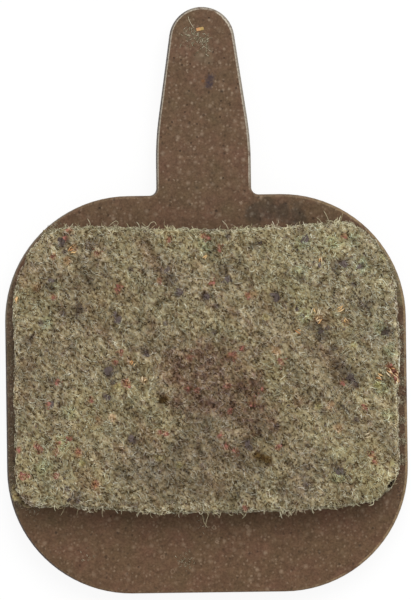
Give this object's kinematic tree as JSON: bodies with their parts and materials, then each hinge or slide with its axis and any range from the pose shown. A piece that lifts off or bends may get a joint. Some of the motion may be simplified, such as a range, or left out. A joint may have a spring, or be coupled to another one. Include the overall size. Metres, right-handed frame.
{
  "type": "bicycle disc brake pad",
  "caption": "Flat steel backing plate with rounded corners and a tapered pull tab, carrying a bonded block of felted friction compound that a caliper presses against a disc brake rotor.",
  "frame": {"origin": "centre of the plate's square body, on the plate's back face, where the caliper's piston pushes", "axes": "+X across the pad, +Y towards the tip of the pull tab, +Z out of the friction face towards the rotor"},
  "size_m": [0.0244, 0.0357, 0.0041],
  "materials": {
    "coated_steel": "thin matt brown coat with pale specks, worn to bare steel along the blanked edges",
    "friction_compound": "rough felted resin compound: pale fibres, dark grains, red flecks and brass slivers"
  },
  "bodies": {
    "root": {"backing_plate": "coated_steel", "friction_block": "friction_compound"}
  },
  "joints": []
}
